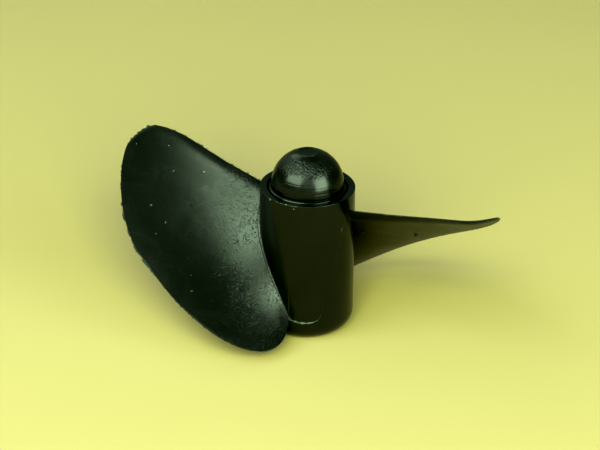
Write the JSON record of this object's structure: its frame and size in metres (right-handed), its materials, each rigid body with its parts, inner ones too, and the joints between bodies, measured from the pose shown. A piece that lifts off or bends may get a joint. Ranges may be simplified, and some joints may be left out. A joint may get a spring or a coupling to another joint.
{
  "type": "model boat propeller",
  "caption": "Small moulded model boat propeller: wide raked blades on a tall hub, with a glossy domed nose cap in the hub's front end. It stands on its rear face.",
  "frame": {"origin": "on the hub's axis, at the hub's rear face, on which the propeller stands", "axes": "+Z along the hub's axis from its rear face to its nose cap; +X towards one blade's side, so that the blades span X"},
  "size_m": [0.0556, 0.0306, 0.028],
  "materials": {
    "moulding": "spark-eroded satin, glass-filled nylon",
    "cap": "polished mould, acetal"
  },
  "bodies": {
    "root": {"propeller_moulding": "moulding", "nose_cap": "cap"}
  },
  "joints": []
}
